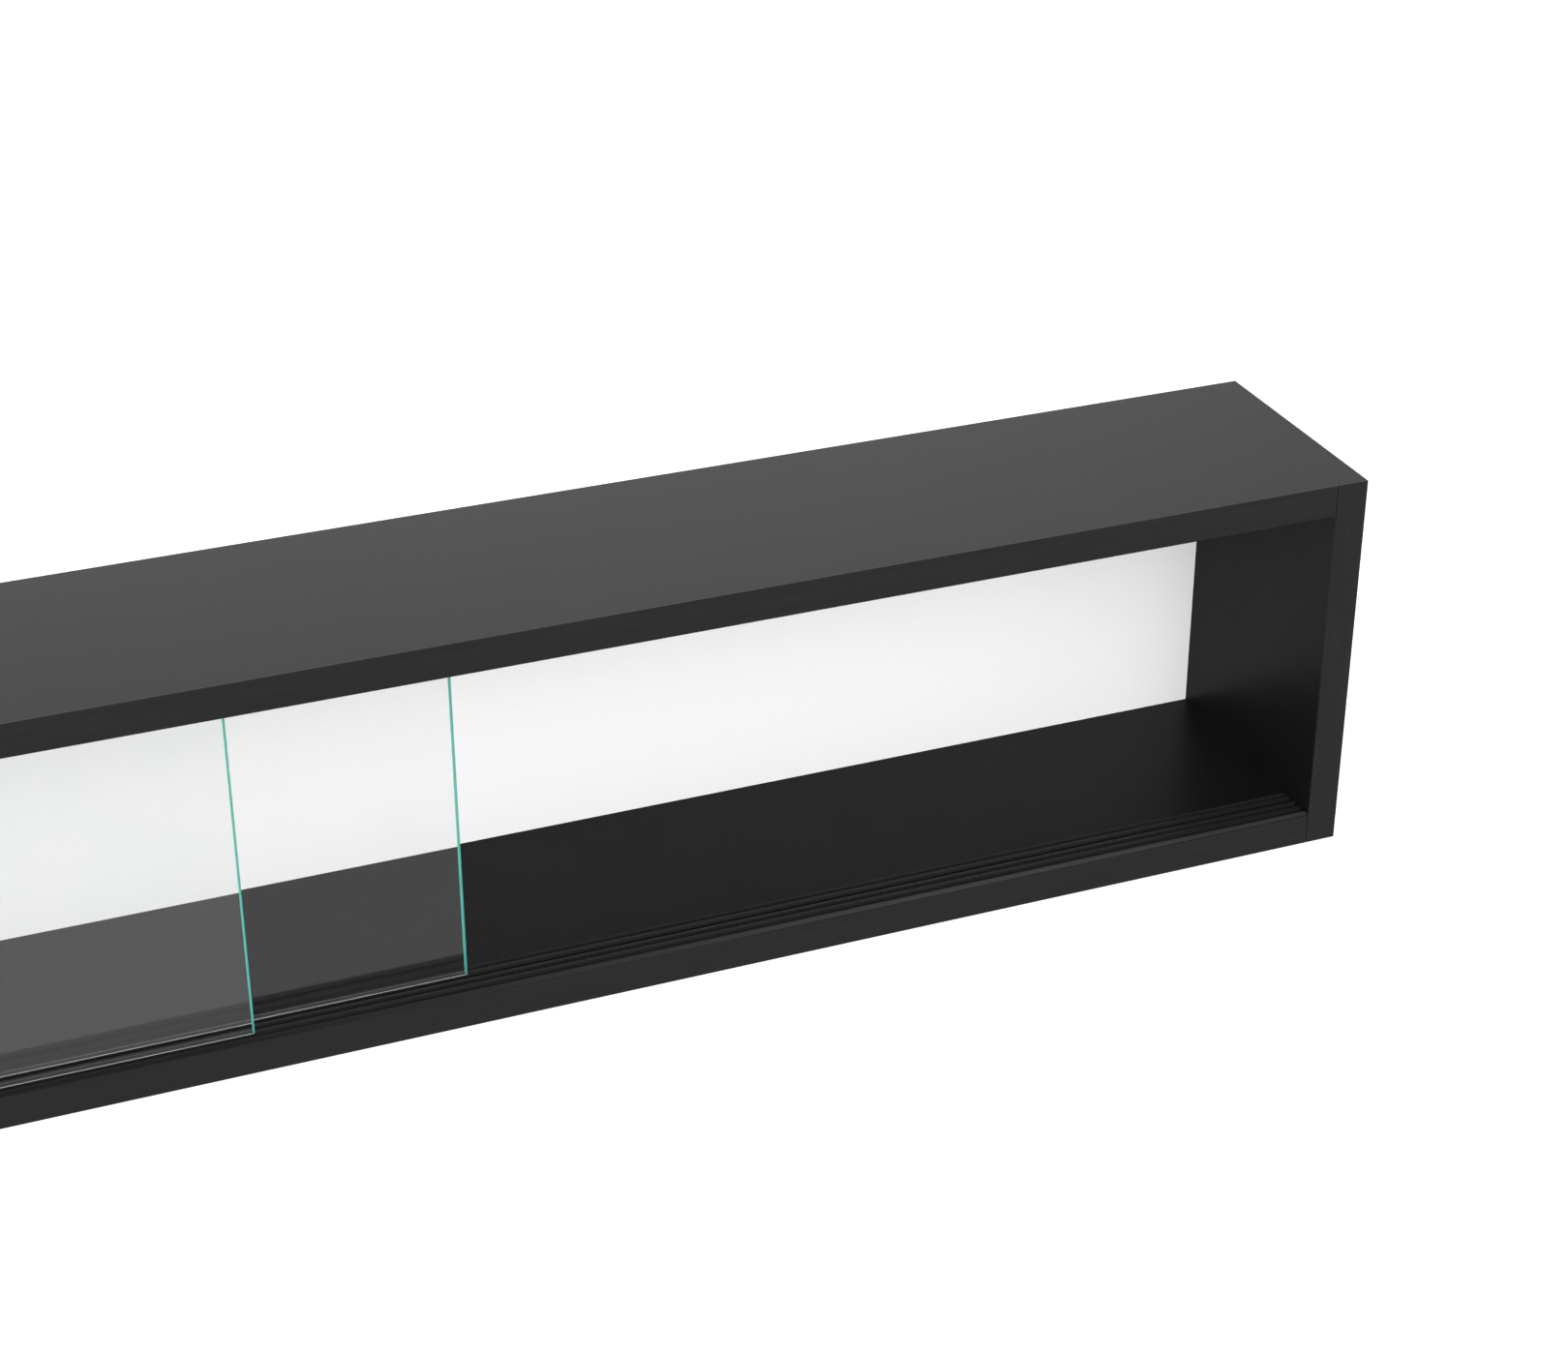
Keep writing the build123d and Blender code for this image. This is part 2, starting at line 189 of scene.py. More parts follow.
def makeMelamine():
    # Chipboard faced with black melamine paper: dull and even, with a fine pearly grain from the press.
    # The real grain is about 0.4 mm and is drawn at 1.6 mm to show. The unbanded rear edges are raw chips.
    # The top of the sill ahead of the doors is painted a greyer black towards its right end: a painted
    # highlight.
    look = melamineLook
    material, tree, place = newMaterial("blackMelamineChipboard")
    cloud = addNode(tree, "ShaderNodeTexNoise", {"Scale": 1 / (look["cloud"] * mm), "Detail": 3},
                    {"Vector": place})
    black = addNode(tree, "ShaderNodeValToRGB", links={"Fac": cloud.outputs["Fac"]})
    black = setRamp(black, [(0.35, srgb(look["black"])), (0.7, srgb(look["cloudy"]))])
    grain = addNode(tree, "ShaderNodeTexNoise", {"Scale": 1 / (look["grain"] * mm), "Detail": 4},
                    {"Vector": place})
    satin = addNode(tree, "ShaderNodeMapRange", {
        "From Min": noiseLow, "From Max": noiseHigh, "To Min": look["smooth"], "To Max": look["rough"]},
        {"Value": grain.outputs["Fac"]})
    chips = addNode(tree, "ShaderNodeTexVoronoi", {"Scale": 1 / (look["chip"] * mm)}, {"Vector": place})
    wood = addNode(tree, "ShaderNodeValToRGB", links={"Fac": chips.outputs["Color"]})
    wood = setRamp(wood, [(0.1, srgb(look["chipDark"])), (0.8, srgb(look["chipLight"]))])
    axes = addNode(tree, "ShaderNodeSeparateXYZ", links={"Vector": place})
    ahead = addNode(tree, "ShaderNodeMath", {"operation": "LESS_THAN", 1: look["sillBack"] * mm},
                    {0: axes.outputs["Y"]})
    level = addNode(tree, "ShaderNodeMath", {
        "operation": "COMPARE", 1: look["sillTop"] * mm, 2: look["sillSkin"] * mm}, {0: axes.outputs["Z"]})
    sill = addNode(tree, "ShaderNodeMath", {"operation": "MULTIPLY"}, {
        0: ahead.outputs[0], 1: level.outputs[0]})
    # painted highlight: the sill top ahead of the doors turns greyer from the middle towards the right end
    # (+X)
    reach = addNode(tree, "ShaderNodeMapRange", {
        "From Min": look["highlightStart"] * mm, "From Max": look["highlightFull"] * mm}, {"Value": axes.outputs["X"]})
    paintedSillHighlight = addNode(tree, "ShaderNodeMath", {"operation": "MULTIPLY"}, {
        0: sill.outputs[0], 1: reach.outputs[0]})
    faced = addNode(tree, "ShaderNodeMix", {"data_type": "RGBA", 7: srgb(look["highlightGrey"])},
                    {0: paintedSillHighlight.outputs[0], 6: black})
    raw = addNode(tree, "ShaderNodeMath", {"operation": "GREATER_THAN", 1: look["rawBehind"] * mm},
                  {0: axes.outputs["Y"]}).outputs[0]
    color = addNode(tree, "ShaderNodeMix", {"data_type": "RGBA"}, {0: raw, 6: faced.outputs[2], 7: wood})
    roughness = addNode(tree, "ShaderNodeMix", {3: look["chipRough"]}, {0: raw, 2: satin.outputs[0]})
    bump = addNode(tree, "ShaderNodeBump", {"Strength": 0.6, "Distance": look["relief"] * mm},
                   {"Height": grain.outputs["Fac"]})
    shader = addNode(tree, "ShaderNodeBsdfPrincipled", {"Specular IOR Level": look["gloss"]}, {
        "Base Color": color.outputs[2], "Roughness": roughness.outputs[0], "Normal": bump.outputs[0]})
    addNode(tree, "ShaderNodeOutputMaterial", links={"Surface": shader.outputs[0]})
    return material


bandLook = {"dark": "1D1D1D", "light": "212121", "streak": 1.2, "stretch": 0.02, "relief": 0.01,
            "smooth": 0.37, "rough": 0.43, "gloss": 0.06}


def makeEdgeBand(name, along):
    # ABS tape, extruded and then scraped flush: satin black with faint streaks along its length.
    look = bandLook
    material, tree, place = newMaterial(name)
    stretch = [1, 1, 1]
    stretch[along] = look["stretch"]
    drawn = addNode(tree, "ShaderNodeMapping", {"Scale": stretch}, {"Vector": place})
    streaks = addNode(tree, "ShaderNodeTexNoise", {"Scale": 1 / (look["streak"] * mm), "Detail": 3},
                      {"Vector": drawn.outputs[0]})
    black = addNode(tree, "ShaderNodeValToRGB", links={"Fac": streaks.outputs["Fac"]})
    black = setRamp(black, [(0.3, srgb(look["dark"])), (0.75, srgb(look["light"]))])
    satin = addNode(tree, "ShaderNodeMapRange", {
        "From Min": noiseLow, "From Max": noiseHigh, "To Min": look["smooth"], "To Max": look["rough"]},
        {"Value": streaks.outputs["Fac"]})
    bump = addNode(tree, "ShaderNodeBump", {"Strength": 0.5, "Distance": look["relief"] * mm},
                   {"Height": streaks.outputs["Fac"]})
    shader = addNode(tree, "ShaderNodeBsdfPrincipled", {"Specular IOR Level": look["gloss"]}, {
        "Base Color": black, "Roughness": satin.outputs[0], "Normal": bump.outputs[0]})
    addNode(tree, "ShaderNodeOutputMaterial", links={"Surface": shader.outputs[0]})
    return material


trackLook = {"dark": "1D1D1D", "light": "212121", "line": 0.7, "stretch": 0.004, "relief": 0.002,
             "smooth": 0.33, "rough": 0.38, "gloss": 0.08,
             "slot": "080808", "shadedSlotGloss": 0.012, "slotFloor": 15.2, "slotTop": 16.7}


def makeTrackPlastic():
    # Rigid PVC pushed through a die: satin black with die lines that run the whole length of the track.
    # Below the tops of the ribs the plastic is painted blacker and given less gloss: painted shade in the
    # slots.
    look = trackLook
    material, tree, place = newMaterial("blackExtrudedPvc")
    drawn = addNode(tree, "ShaderNodeMapping", {"Scale": (look["stretch"], 1, 1)}, {"Vector": place})
    lines = addNode(tree, "ShaderNodeTexNoise", {"Scale": 1 / (look["line"] * mm), "Detail": 2},
                    {"Vector": drawn.outputs[0]})
    black = addNode(tree, "ShaderNodeValToRGB", links={"Fac": lines.outputs["Fac"]})
    black = setRamp(black, [(0.3, srgb(look["dark"])), (0.75, srgb(look["light"]))])
    satin = addNode(tree, "ShaderNodeMapRange", {
        "From Min": noiseLow, "From Max": noiseHigh, "To Min": look["smooth"], "To Max": look["rough"]},
        {"Value": lines.outputs["Fac"]})
    bump = addNode(tree, "ShaderNodeBump", {"Strength": 0.5, "Distance": look["relief"] * mm},
                   {"Height": lines.outputs["Fac"]})
    axes = addNode(tree, "ShaderNodeSeparateXYZ", links={"Vector": place})
    # painted shade: the slots are drawn blacker and less glossy below the rib tops
    height = addNode(tree, "ShaderNodeMapRange", {
        "From Min": look["slotFloor"] * mm, "From Max": look["slotTop"] * mm}, {"Value": axes.outputs["Z"]})
    color = addNode(tree, "ShaderNodeMix", {"data_type": "RGBA", 6: srgb(look["slot"])},
                    {0: height.outputs[0], 7: black})
    gloss = addNode(tree, "ShaderNodeMix", {2: look["shadedSlotGloss"], 3: look["gloss"]}, {
        0: height.outputs[0]})
    shader = addNode(tree, "ShaderNodeBsdfPrincipled", links={
        "Base Color": color.outputs[2], "Roughness": satin.outputs[0], "Normal": bump.outputs[0],
        "Specular IOR Level": gloss.outputs[0]})
    addNode(tree, "ShaderNodeOutputMaterial", links={"Surface": shader.outputs[0]})
    return material


hardboardLook = {
    "white": "E6E6E6", "whiter": "E9E9E9", "roller": 1.5, "lacquerRough": 0.55, "relief": 0.03, "gloss": 0.1,
    "brown": "5C4530", "fibre": "775C43", "fleck": "3C2C1F", "fibreSize": 2.2, "fibreRough": 0.85,
    "screen": 3, "rawBehind": 72.1,
}


def makeHardboard():
    # Wood fibre board: white roller lacquer in front with a faint stipple, raw brown fibre behind that
    # carries the screen it was pressed on. The screen is really 1.5 mm and is drawn at 3 mm to show.
    look = hardboardLook
    material, tree, place = newMaterial("whiteLacqueredHardboard")
    roller = addNode(tree, "ShaderNodeTexNoise", {"Scale": 1 / (look["roller"] * mm), "Detail": 2},
                     {"Vector": place})
    white = addNode(tree, "ShaderNodeValToRGB", links={"Fac": roller.outputs["Fac"]})
    white = setRamp(white, [(0.3, srgb(look["white"])), (0.7, srgb(look["whiter"]))])
    fibres = addNode(tree, "ShaderNodeTexNoise", {
        "Scale": 1 / (look["fibreSize"] * mm), "Detail": 6, "Distortion": 1.5}, {"Vector": place})
    brown = addNode(tree, "ShaderNodeValToRGB", links={"Fac": fibres.outputs["Fac"]})
    brown = setRamp(brown, [
        (0.32, srgb(look["fleck"])), (0.45, srgb(look["brown"])), (0.68, srgb(look["fibre"]))])
    axes = addNode(tree, "ShaderNodeSeparateXYZ", links={"Vector": place})
    raw = addNode(tree, "ShaderNodeMath", {"operation": "GREATER_THAN", 1: look["rawBehind"] * mm},
                  {0: axes.outputs["Y"]}).outputs[0]
    waves = []
    for axis in ("X", "Z"):
        turns = addNode(tree, "ShaderNodeMath", {"operation": "MULTIPLY", 1: 2 * pi / (look["screen"] * mm)},
                        {0: axes.outputs[axis]})
        wave = addNode(tree, "ShaderNodeMath", {"operation": "SINE"}, {0: turns.outputs[0]})
        waves.append(wave.outputs[0])
    weave = addNode(tree, "ShaderNodeMath", {"operation": "MULTIPLY"}, {0: waves[0], 1: waves[1]})
    color = addNode(tree, "ShaderNodeMix", {"data_type": "RGBA"}, {0: raw, 6: white, 7: brown})
    roughness = addNode(tree, "ShaderNodeMix", {2: look["lacquerRough"], 3: look["fibreRough"]}, {0: raw})
    height = addNode(tree, "ShaderNodeMix", links={0: raw, 2: roller.outputs["Fac"], 3: weave.outputs[0]})
    bump = addNode(tree, "ShaderNodeBump", {"Strength": 0.5, "Distance": look["relief"] * mm},
                   {"Height": height.outputs[0]})
    shader = addNode(tree, "ShaderNodeBsdfPrincipled", {"Specular IOR Level": look["gloss"]}, {
        "Base Color": color.outputs[2], "Roughness": roughness.outputs[0], "Normal": bump.outputs[0]})
    addNode(tree, "ShaderNodeOutputMaterial", links={"Surface": shader.outputs[0]})
    return material


glassLook = {"ior": 1.5, "clear": "FFFFFF", "tinted": "FDFFFE", "drift": 60}


def makeClearGlass():
    # Float glass, polished: clear and mirror smooth, with a breath of green that drifts across the sheet.
    look = glassLook
    material, tree, place = newMaterial("clearFloatGlass")
    drift = addNode(tree, "ShaderNodeTexNoise", {"Scale": 1 / (look["drift"] * mm), "Detail": 2},
                    {"Vector": place})
    tint = addNode(tree, "ShaderNodeValToRGB", links={"Fac": drift.outputs["Fac"]})
    tint = setRamp(tint, [(0.3, srgb(look["clear"])), (0.7, srgb(look["tinted"]))])
    shader = addNode(tree, "ShaderNodeBsdfPrincipled", {
        "Roughness": 0, "IOR": look["ior"], "Transmission Weight": 1}, {"Base Color": tint})
    addNode(tree, "ShaderNodeOutputMaterial", links={"Surface": shader.outputs[0]})
    return material


groundLook = {"deep": "34857A", "pale": "45A093", "grit": 0.8, "relief": 0.03, "dull": 0.4}


def makeGroundEdge():
    # Glass edge ground on a wheel: the iron in the glass shows as blue green, dulled by a fine grit.
    look = groundLook
    material, tree, place = newMaterial("groundGlassEdge")
    grit = addNode(tree, "ShaderNodeTexNoise", {"Scale": 1 / (look["grit"] * mm), "Detail": 3},
                   {"Vector": place})
    green = addNode(tree, "ShaderNodeValToRGB", links={"Fac": grit.outputs["Fac"]})
    green = setRamp(green, [(0.3, srgb(look["deep"])), (0.7, srgb(look["pale"]))])
    bump = addNode(tree, "ShaderNodeBump", {"Strength": 0.5, "Distance": look["relief"] * mm},
                   {"Height": grit.outputs["Fac"]})
    shader = addNode(tree, "ShaderNodeBsdfPrincipled", {"Roughness": look["dull"]}, {
        "Base Color": green, "Normal": bump.outputs[0]})
    addNode(tree, "ShaderNodeOutputMaterial", links={"Surface": shader.outputs[0]})
    return material


seamLook = {
    "grit": 0.6, "stretch": 0.15, "relief": 0.02, "dull": 0.6,
    "arris": ("B4B6B5", "CACCCB"),
    "shadedUnderside": ("1B1C1C", "252626"),  # painted shade: darker, for the black plastic it stands on
}


def makeSeamedEdge(name, part):
    # Glass edge seamed on a belt, where it runs in the tracks: a matt grey from its many scratches.
    # The copy for the faces that don't look to the front is painted a darker grey: painted shade.
    look = seamLook
    dark, light = look[part]
    material, tree, place = newMaterial(name)
    scratches = addNode(tree, "ShaderNodeMapping", {"Scale": (look["stretch"], 1, 1)}, {"Vector": place})
    grit = addNode(tree, "ShaderNodeTexNoise", {"Scale": 1 / (look["grit"] * mm), "Detail": 3},
                   {"Vector": scratches.outputs[0]})
    grey = addNode(tree, "ShaderNodeValToRGB", links={"Fac": grit.outputs["Fac"]})
    grey = setRamp(grey, [(0.3, srgb(dark)), (0.7, srgb(light))])
    bump = addNode(tree, "ShaderNodeBump", {"Strength": 0.5, "Distance": look["relief"] * mm},
                   {"Height": grit.outputs["Fac"]})
    shader = addNode(tree, "ShaderNodeBsdfPrincipled", {"Roughness": look["dull"]}, {
        "Base Color": grey, "Normal": bump.outputs[0]})
    addNode(tree, "ShaderNodeOutputMaterial", links={"Surface": shader.outputs[0]})
    return material


castLook = {"dark": "7E7F81", "light": "A6A8AA", "skin": 1.2, "relief": 0.05, "dull": 0.48}


def makeCastZinc():
    # Die-cast zinc: a dull grey skin, mottled where the metal chilled against the die.
    look = castLook
    material, tree, place = newMaterial("dieCastZinc")
    skin = addNode(tree, "ShaderNodeTexNoise", {"Scale": 1 / (look["skin"] * mm), "Detail": 5},
                   {"Vector": place})
    grey = addNode(tree, "ShaderNodeValToRGB", links={"Fac": skin.outputs["Fac"]})
    grey = setRamp(grey, [(0.3, srgb(look["dark"])), (0.7, srgb(look["light"]))])
    bump = addNode(tree, "ShaderNodeBump", {"Strength": 0.6, "Distance": look["relief"] * mm},
                   {"Height": skin.outputs["Fac"]})
    shader = addNode(tree, "ShaderNodeBsdfPrincipled", {"Metallic": 1, "Roughness": look["dull"]}, {
        "Base Color": grey, "Normal": bump.outputs[0]})
    addNode(tree, "ShaderNodeOutputMaterial", links={"Surface": shader.outputs[0]})
    return material


platedLook = {"blue": "BFC6CE", "straw": "D2CFC4", "drift": 6, "scratch": 0.5, "smooth": 0.22, "rough": 0.38}


def makeZincPlate():
    # Steel with bright zinc plating: a cold white shine that drifts from blue to straw, lightly scuffed.
    look = platedLook
    material, tree, place = newMaterial("zincPlatedSteel")
    drift = addNode(tree, "ShaderNodeTexNoise", {"Scale": 1 / (look["drift"] * mm), "Detail": 2},
                    {"Vector": place})
    tint = addNode(tree, "ShaderNodeValToRGB", links={"Fac": drift.outputs["Fac"]})
    tint = setRamp(tint, [(0.35, srgb(look["blue"])), (0.65, srgb(look["straw"]))])
    scuffs = addNode(tree, "ShaderNodeTexNoise", {"Scale": 1 / (look["scratch"] * mm), "Detail": 4},
                     {"Vector": place})
    shine = addNode(tree, "ShaderNodeMapRange", {
        "From Min": noiseLow, "From Max": noiseHigh, "To Min": look["smooth"], "To Max": look["rough"]},
        {"Value": scuffs.outputs["Fac"]})
    shader = addNode(tree, "ShaderNodeBsdfPrincipled", {"Metallic": 1}, {
        "Base Color": tint, "Roughness": shine.outputs[0]})
    addNode(tree, "ShaderNodeOutputMaterial", links={"Surface": shader.outputs[0]})
    return material


powderLook = {"dark": "131313", "light": "1D1D1D", "peel": 1.4, "relief": 0.08, "dull": 0.45, "gloss": 0.3}


def makePowderCoat():
    # Steel under baked powder: half-matt black with the soft dimples of orange peel.
    look = powderLook
    material, tree, place = newMaterial("blackPowderCoatedSteel")
    peel = addNode(tree, "ShaderNodeTexNoise", {"Scale": 1 / (look["peel"] * mm), "Detail": 2},
                   {"Vector": place})
    black = addNode(tree, "ShaderNodeValToRGB", links={"Fac": peel.outputs["Fac"]})
    black = setRamp(black, [(0.3, srgb(look["dark"])), (0.7, srgb(look["light"]))])
    bump = addNode(tree, "ShaderNodeBump", {"Strength": 0.7, "Distance": look["relief"] * mm},
                   {"Height": peel.outputs["Fac"]})
    shader = addNode(tree, "ShaderNodeBsdfPrincipled", {
        "Roughness": look["dull"], "Specular IOR Level": look["gloss"]}, {
        "Base Color": black, "Normal": bump.outputs[0]})
    addNode(tree, "ShaderNodeOutputMaterial", links={"Surface": shader.outputs[0]})
    return material


beechLook = {"pale": "DDBB92", "warm": "C79C6C", "ray": "A97C50", "ring": 1.5, "wander": 0.6,
             "stretch": 0.06, "dull": 0.7}


def makeBeech():
    # Planed beech dowel: pale pinkish wood, close rings along the rod and short dark ray flecks.
    look = beechLook
    material, tree, place = newMaterial("planedBeech")
    along = addNode(tree, "ShaderNodeMapping", {"Scale": (look["stretch"], 1, 1)}, {"Vector": place})
    rings = addNode(tree, "ShaderNodeTexNoise", {
        "Scale": 1 / (look["ring"] * mm), "Detail": 6, "Distortion": look["wander"]},
        {"Vector": along.outputs[0]})
    wood = addNode(tree, "ShaderNodeValToRGB", links={"Fac": rings.outputs["Fac"]})
    wood = setRamp(wood, [(0.3, srgb(look["ray"])), (0.42, srgb(look["warm"])), (0.65, srgb(look["pale"]))])
    shader = addNode(tree, "ShaderNodeBsdfPrincipled", {"Roughness": look["dull"]}, {"Base Color": wood})
    addNode(tree, "ShaderNodeOutputMaterial", links={"Surface": shader.outputs[0]})
    return material


capLook = {"dark": "151515", "light": "1E1E1E", "spark": 0.8, "relief": 0.05, "dull": 0.42, "gloss": 0.15}


def makeCapPlastic():
    # Injection-moulded polyethylene from a spark-eroded die: waxy black with a fine pitted skin.
    look = capLook
    material, tree, place = newMaterial("blackMouldedPolyethylene")
    pits = addNode(tree, "ShaderNodeTexVoronoi", {"Scale": 1 / (look["spark"] * mm)}, {"Vector": place})
    black = addNode(tree, "ShaderNodeValToRGB", links={"Fac": pits.outputs["Distance"]})
    black = setRamp(black, [(0.1, srgb(look["dark"])), (0.7, srgb(look["light"]))])
    bump = addNode(tree, "ShaderNodeBump", {"Strength": 0.5, "Distance": look["relief"] * mm},
                   {"Height": pits.outputs["Distance"]})
    shader = addNode(tree, "ShaderNodeBsdfPrincipled", {
        "Roughness": look["dull"], "Specular IOR Level": look["gloss"]}, {
        "Base Color": black, "Normal": bump.outputs[0]})
    addNode(tree, "ShaderNodeOutputMaterial", links={"Surface": shader.outputs[0]})
    return material


rubberLook = {"black": "101010", "bloom": "242423", "patch": 1.5, "dull": 0.85, "gloss": 0.2}


def makeRubber():
    # Die-cut sheet rubber: dead matt black with a greyish bloom that comes to the surface in patches.
    look = rubberLook
    material, tree, place = newMaterial("blackSheetRubber")
    bloom = addNode(tree, "ShaderNodeTexNoise", {"Scale": 1 / (look["patch"] * mm), "Detail": 5},
                    {"Vector": place})
    black = addNode(tree, "ShaderNodeValToRGB", links={"Fac": bloom.outputs["Fac"]})
    black = setRamp(black, [(0.4, srgb(look["black"])), (0.8, srgb(look["bloom"]))])
    shader = addNode(tree, "ShaderNodeBsdfPrincipled", {
        "Roughness": look["dull"], "Specular IOR Level": look["gloss"]}, {"Base Color": black})
    addNode(tree, "ShaderNodeOutputMaterial", links={"Surface": shader.outputs[0]})
    return material


groundEdge = makeGroundEdge()
seamedArris = makeSeamedEdge("seamedGlassArris", "arris")
shadedSeamedUnderside = makeSeamedEdge("seamedGlassUndersideShaded", "shadedUnderside")
uprightBand = makeEdgeBand("blackAbsBandUpright", along=2)
finishes = {
    "black_melamine": makeMelamine(),
    "black_edge_band": makeEdgeBand("blackAbsBandLevel", along=0),
    "white_hardboard": makeHardboard(),
    "track_plastic": makeTrackPlastic(),
    "clear_glass": makeClearGlass(),
    "zinc_alloy": makeCastZinc(),
    "zinc_plated_steel": makeZincPlate(),
    "black_steel": makePowderCoat(),
    "beech": makeBeech(),
    "black_cap_plastic": makeCapPlastic(),
    "black_rubber": makeRubber(),
}


def dress(nodeName, material):
    mesh = nodes[nodeName].data
    mesh.materials.clear()
    mesh.materials.append(material)


for subpart in frame["record"]["subparts"]:
    dress(subpart["node"], finishes[subpart["material_slot"]])
for nodeName in ("left_side_edge_band", "right_side_edge_band"):
    dress(nodeName, uprightBand)
print("materials made for", len(finishes), "slots")


def finishPiece(piece, body, slotName, nodeName):
    piece.data.materials.append(finishes[slotName])
    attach(piece, body)
    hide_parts(nodeName)


glassDoor = {
    "arris": 0.8,
    "arrisSegments": 2,
    "frontward": -0.1,  # a face of the arris whose normal has less Y than this looks to the front
}


def makeGlassDoor(name, nodeName, body):
    low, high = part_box(nodeName)
    arris = glassDoor["arris"] * mm
    deselectAll()
    bpy.ops.mesh.primitive_cube_add(size=1, location=(low + high) / 2, scale=high - low)
    pane = bpy.context.object
    pane.name = name
    bpy.ops.object.transform_apply(location=True, rotation=True, scale=True)
    bpy.ops.object.mode_set(mode="EDIT")
    bpy.ops.mesh.select_all(action="SELECT")
    bpy.ops.mesh.bevel(offset=arris, segments=glassDoor["arrisSegments"], affect="EDGES")
    bpy.ops.object.mode_set(mode="OBJECT")
    finishPiece(pane, body, "clear_glass", nodeName)
    for edge in (groundEdge, seamedArris, shadedSeamedUnderside):
        pane.data.materials.append(edge)
    paneFinishes = list(pane.data.materials)
    for face in pane.data.polygons:
        fromEnd = min(face.center.x - low.x, high.x - face.center.x)
        fromSeam = min(face.center.z - low.z, high.z - face.center.z)
        if fromEnd < arris:
            face.material_index = paneFinishes.index(groundEdge)
        elif fromSeam < arris and face.normal.y < glassDoor["frontward"]:
            face.material_index = paneFinishes.index(seamedArris)
        # painted shade: seamed faces that don't look to the front take the darker copy
        elif fromSeam < arris:
            face.material_index = paneFinishes.index(shadedSeamedUnderside)
    pane.visible_diffuse = False  # clear glass holds back next to none of the room's light
    pane.visible_glossy = False
    pane.visible_shadow = False


makeGlassDoor("frontGlassPane", "front_glass_door", "front_door")
makeGlassDoor("rearGlassPane", "rear_glass_door", "rear_door")
print("glass doors made")


def turnUp(name, profile, sides=32):
    # a disc that is extruded and resized ring by ring, down a profile of radius and height in mm
    radius, height = profile[0]
    deselectAll()
    bpy.ops.mesh.primitive_circle_add(vertices=sides, radius=radius * mm, fill_type="NGON")
    piece = bpy.context.object
    piece.name = name
    bpy.ops.object.mode_set(mode="EDIT")
    bpy.ops.mesh.select_all(action="SELECT")
    bpy.ops.transform.translate(value=(0, 0, height * mm))
    for nextRadius, nextHeight in profile[1:]:
        rise = (nextHeight - height) * mm
        swell = nextRadius / radius
        bpy.ops.mesh.extrude_region_move(TRANSFORM_OT_translate={"value": (0, 0, rise)})
        bpy.ops.transform.resize(value=(swell, swell, 1), center_override=(0, 0, nextHeight * mm))
        radius, height = nextRadius, nextHeight
    bpy.ops.mesh.select_all(action="SELECT")
    bpy.ops.mesh.normals_make_consistent(inside=False)
    bpy.ops.object.mode_set(mode="OBJECT")
    bpy.ops.object.shade_smooth_by_angle(angle=smoothAngle)
    return piece


def cutWith(piece, size, place, taper):
    # cuts a block out of the piece, narrower at its lower end by the taper
    deselectAll()
    bpy.ops.mesh.primitive_cube_add(size=1)
    cutter = bpy.context.object
    bpy.ops.object.mode_set(mode="EDIT")
    bpy.ops.mesh.select_all(action="SELECT")
    bpy.ops.transform.resize(value=[side * mm for side in size], center_override=(0, 0, 0))
    bpy.ops.object.mode_set(mode="OBJECT")
    for vertex in cutter.data.vertices:
        vertex.select = vertex.co.z < 0
    bpy.ops.object.mode_set(mode="EDIT")
    bpy.ops.transform.resize(value=(taper, taper, 1), center_override=(0, 0, 0))
    bpy.ops.mesh.select_all(action="SELECT")
    bpy.ops.transform.translate(value=[step * mm for step in place])
    bpy.ops.object.mode_set(mode="OBJECT")
    deselectAll()
    bpy.context.view_layer.objects.active = piece
    piece.select_set(True)
    cut = piece.modifiers.new("cut", "BOOLEAN")
    cut.operation = "DIFFERENCE"
    cut.object = cutter
    bpy.ops.object.modifier_apply(modifier="cut")
    bpy.data.objects.remove(cutter)


crossTaper = 0.45  # how much narrower a cross recess is at its foot
screwPoint = 0.05  # a screw's point, as a share of its shank
driveStep = 37  # degrees, so that no two screws or caps stop at the same angle


def cutCross(piece, top, across, width, depth):
    for size in ((across, width, 2 * depth), (width, across, 2 * depth)):
        cutWith(piece, size, (0, 0, top), crossTaper)


def placeCopies(piece, facing, places, step=0):
    # copies the piece to each place, turned from +Z to the facing and on by the step, and joins them
    turn = facing.to_track_quat("Z", "Y").to_matrix().to_4x4()
    name = piece.name
    copies = []
    for count, spot in enumerate(places):
        copy = piece.copy()
        copy.data = piece.data.copy()
        bpy.context.scene.collection.objects.link(copy)
        driven = Matrix.Rotation(radians(step * count), 4, "Z")
        copy.matrix_world = Matrix.Translation(spot) @ turn @ driven
        copies.append(copy)
    bpy.data.objects.remove(piece)
    deselectAll()
    for copy in copies:
        copy.select_set(True)
    bpy.context.view_layer.objects.active = copies[0]
    bpy.ops.object.transform_apply(location=True, rotation=True, scale=True)
    bpy.ops.object.join()
    copies[0].name = name
    return copies[0]


def evenly(low, high, count):
    return [low + (high - low) * step / (count - 1) for step in range(count)]


def turnCountersunkScrew(name, s):
    neck = s["head"] - s["shank"] + s["rim"]
    screw = turnUp(name, [
        (s["head"], 0), (s["head"], -s["rim"]), (s["shank"], -neck),
        (s["shank"], s["tip"] - s["length"]), (s["shank"] * screwPoint, -s["length"])])
    cutCross(screw, 0, s["across"], s["slot"], s["deep"])
    return screw


backScrew = {"head": 3, "shank": 1.5, "length": 16, "tip": 3, "rim": 0.25,
             "across": 3.4, "slot": 0.9, "deep": 1.3, "columns": 7, "endInset": 40}


